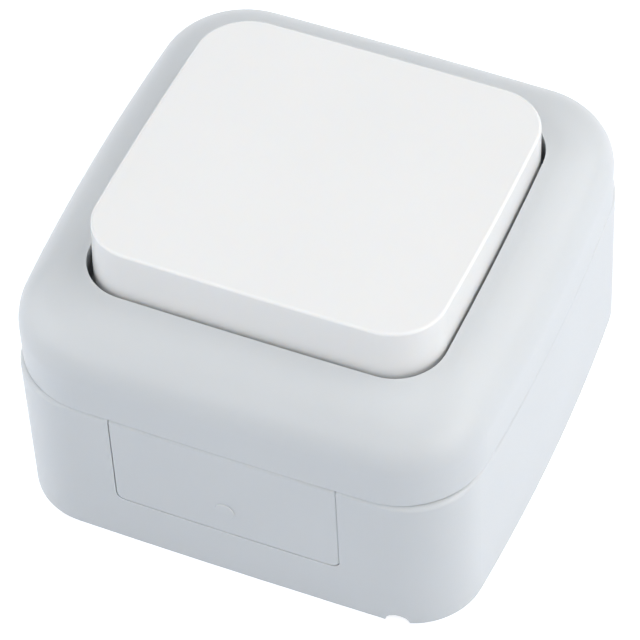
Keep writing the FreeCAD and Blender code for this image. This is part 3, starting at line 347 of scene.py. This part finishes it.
FLOOR_RADIUS = 3.0
FLOOR_LEVEL = -0.00005
FLOOR_CORNERS = 96
FLOOR_ROUGHNESS = 0.9
FLOOR_GLOW_STRENGTH = 0.78
AIR_STRENGTH = 0.265


def floor_material():
    """White floor, seen as white by the camera and in reflections, with the object's shadow."""
    made = bpy.data.materials.new("white_floor")
    made.use_nodes = True
    tree = made.node_tree
    shader = tree.nodes["Principled BSDF"]
    shader.inputs["Base Color"].default_value = FLOOR
    shader.inputs["Roughness"].default_value = FLOOR_ROUGHNESS
    shader.inputs["Emission Color"].default_value = FLOOR_GLOW
    path = tree.nodes.new("ShaderNodeLightPath")
    seen = tree.nodes.new("ShaderNodeMath")
    seen.operation = "MAXIMUM"
    tree.links.new(path.outputs["Is Camera Ray"], seen.inputs[0])
    mirrored = tree.nodes.new("ShaderNodeMath")
    mirrored.operation = "MAXIMUM"
    tree.links.new(path.outputs["Is Glossy Ray"], mirrored.inputs[0])
    tree.links.new(path.outputs["Is Transmission Ray"], mirrored.inputs[1])
    tree.links.new(mirrored.outputs["Value"], seen.inputs[1])
    glow = tree.nodes.new("ShaderNodeMath")
    glow.operation = "MULTIPLY"
    glow.inputs[1].default_value = FLOOR_GLOW_STRENGTH
    tree.links.new(seen.outputs["Value"], glow.inputs[0])
    tree.links.new(glow.outputs["Value"], shader.inputs["Emission Strength"])
    return made


def flat_disc(name, radius, level):
    """Round sheet: radius times cosine and sine of evenly spaced angles, joined as one face."""
    turn = np.linspace(0, 2 * math.pi, FLOOR_CORNERS, endpoint=False)
    points = np.stack([radius * np.cos(turn), radius * np.sin(turn), np.full_like(turn, level)], 1)
    return new_piece(name, points, [list(range(FLOOR_CORNERS))])


floor = flat_disc("studio_floor", FLOOR_RADIUS, FLOOR_LEVEL)
floor.data.materials.append(floor_material())

world = bpy.data.worlds.new("studio_air")
bpy.context.scene.world = world
world.use_nodes = True
air = world.node_tree.nodes["Background"]
air.inputs["Color"].default_value = AIR
air.inputs["Strength"].default_value = AIR_STRENGTH

LAMPS = {   # place, aim and size in metres, power in watts, colour
    "top_panel": ((-0.05, 0.15, 0.95), (0, 0, 0.03), 0.9, 1.5, PLAIN_LIGHT),
    "high_left_panel": ((-0.50, -0.15, 0.85), (0, 0, 0.02), 0.8, 0.65, PLAIN_LIGHT),
    "back_panel": ((0.45, 0.70, 0.60), (0, 0, 0.02), 1.1, 2.75, PLAIN_LIGHT),
    "back_right_panel": ((0.75, 0.30, 0.55), (0, 0, 0.02), 1.1, 3.45, PLAIN_LIGHT),
    "right_panel": ((0.88, -0.20, 0.42), (0, 0, 0.02), 0.85, 3.6, WARM_LIGHT),
    "front_panel": ((0.05, -0.85, 0.50), (0, 0, 0.02), 1.0, 2.15, COOL_LIGHT),
    "front_left_panel": ((-0.55, -0.60, 0.60), (0, 0, 0.02), 0.9, 1.5, COOL_LIGHT),
    "left_panel": ((-0.88, -0.20, 0.40), (0, 0, 0.02), 0.85, 3.2, COOL_LIGHT),
}
for name, (place, aim, size, power, colour) in LAMPS.items():
    lamp = bpy.data.lights.new(name, "AREA")
    lamp.shape = "DISK"
    lamp.size = size
    lamp.energy = power
    lamp.color = colour
    holder = bpy.data.objects.new(name, lamp)
    holder.location = place
    holder.rotation_euler = (Vector(aim) - Vector(place)).to_track_quat("-Z", "Y").to_euler()
    bpy.context.scene.collection.objects.link(holder)


def place_camera():
    """Camera at its place, looking at its aim, turned by its roll about the line of sight."""
    camera = bpy.data.cameras.new("photo_camera")
    camera.lens = CAMERA_LENS
    camera.sensor_width = CAMERA_SENSOR
    camera.clip_start = CAMERA_NEAR
    camera.clip_end = CAMERA_FAR
    holder = bpy.data.objects.new("photo_camera", camera)
    back = (CAMERA_PLACE - CAMERA_AIM).normalized()
    level = Vector((0, 0, 1)).cross(back).normalized()
    upright = back.cross(level)
    roll = math.radians(CAMERA_ROLL)
    up = math.cos(roll) * upright + math.sin(roll) * level
    right = up.cross(back)
    turn = Matrix((right, up, back)).transposed().to_4x4()
    holder.matrix_world = Matrix.Translation(CAMERA_PLACE) @ turn
    bpy.context.scene.collection.objects.link(holder)
    bpy.context.scene.camera = holder


place_camera()
bpy.context.scene.view_settings.view_transform = "Standard"
